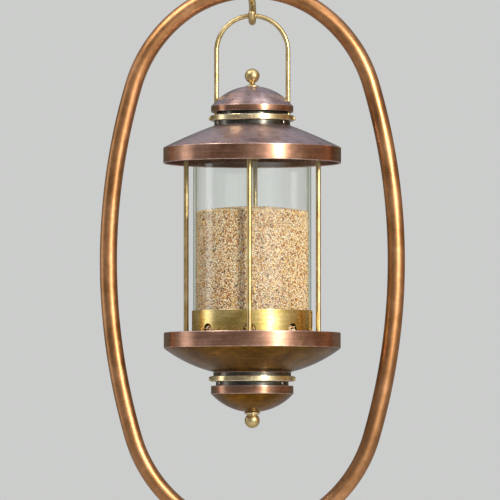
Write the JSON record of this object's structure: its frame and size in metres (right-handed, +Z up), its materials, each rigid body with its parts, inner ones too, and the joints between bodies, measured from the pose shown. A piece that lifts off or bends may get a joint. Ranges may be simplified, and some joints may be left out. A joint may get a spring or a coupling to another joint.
{
  "type": "bird feeder on pole",
  "caption": "Lantern-shaped hanging bird feeder with glass seed tube, spun copper roof and tray, hung by a wire bail and S-hook in an oval tube hoop on a spiked ground pole.",
  "frame": {"origin": "centre of the underside of the prong plate, at ground level on the pole's axis, where the centre spike's shoulder meets the plate", "axes": "+Z up along the pole; +X to the right in the hoop's plane as seen from the front; -Y to the front, square to the hoop"},
  "size_m": [0.388, 0.226, 1.925],
  "materials": {
    "spun_copper": "aged and brushed copper sheet, mottled brown and mauve patina",
    "copper_tube": "satin copper-plated tube, warm brown",
    "aged_brass": "antique brass, satin",
    "dark_metal": "dark satin metal",
    "plain_steel": "plain zinc-plated steel",
    "bronze_paint": "dark bronze powder coat",
    "gasket_rubber": "matte black",
    "clear_glass": "clear blown glass",
    "bird_seed": "loose mixed seed: white and red millet, cracked corn, dark grains"
  },
  "bodies": {
    "stand": {"hoop": "copper_tube", "hoop_tee": "copper_tube", "upper_pole": "copper_tube", "pole_coupling": "copper_tube", "lower_pole": "copper_tube", "ground_socket": "bronze_paint", "prong_plate": "bronze_paint", "ground_prongs": "bronze_paint", "centre_spike": "bronze_paint", "pole_thumb_screws": "aged_brass"},
    "hook": {"s_hook": "aged_brass"},
    "feeder": {"bail": "aged_brass", "top_ring": "aged_brass", "top_ring_screws": "aged_brass", "filler_neck": "dark_metal", "neck_side_screws": "plain_steel", "neck_flange_screws": "aged_brass", "roof": "spun_copper", "roof_plate": "dark_metal", "upper_gasket": "gasket_rubber", "glass_tube": "clear_glass", "lower_gasket": "gasket_rubber", "seed_collar": "aged_brass", "tie_rod_front": "aged_brass", "tie_rod_right": "aged_brass", "tie_rod_back": "aged_brass", "tie_rod_left": "aged_brass", "upper_rod_nuts": "aged_brass", "upper_rod_washers": "aged_brass", "lower_rod_nuts": "aged_brass", "lower_rod_washers": "aged_brass", "tray": "spun_copper", "tray_floor": "aged_brass", "seed_cone": "aged_brass", "seed_fill": "bird_seed", "tray_seed": "bird_seed", "centre_spacer": "plain_steel", "centre_bolt": "plain_steel", "centre_nut": "plain_steel", "bottom_spool": "dark_metal", "bottom_ring": "aged_brass", "bottom_ring_screws": "aged_brass", "spool_side_screws": "plain_steel", "bottom_cap": "spun_copper", "bottom_finial": "aged_brass"},
    "lid": {"lid": "spun_copper", "lid_finial": "aged_brass", "lid_finial_nut": "plain_steel"}
  },
  "joints": [
    {"name": "hook_sway", "type": "hinge", "parent": "stand", "child": "hook", "pos_m": [0, 0, 1.70052], "axis": [0, 1, 0], "range_deg": [-6, 6]},
    {"name": "feeder_swing", "type": "hinge", "parent": "hook", "child": "feeder", "pos_m": [0, 0, 1.65197], "axis": [1, 0, 0], "range_deg": [-25, 25]},
    {"name": "lid_lift", "type": "slide", "parent": "feeder", "child": "lid", "axis": [0, 0, 1], "range_m": [0, 0.045]}
  ]
}
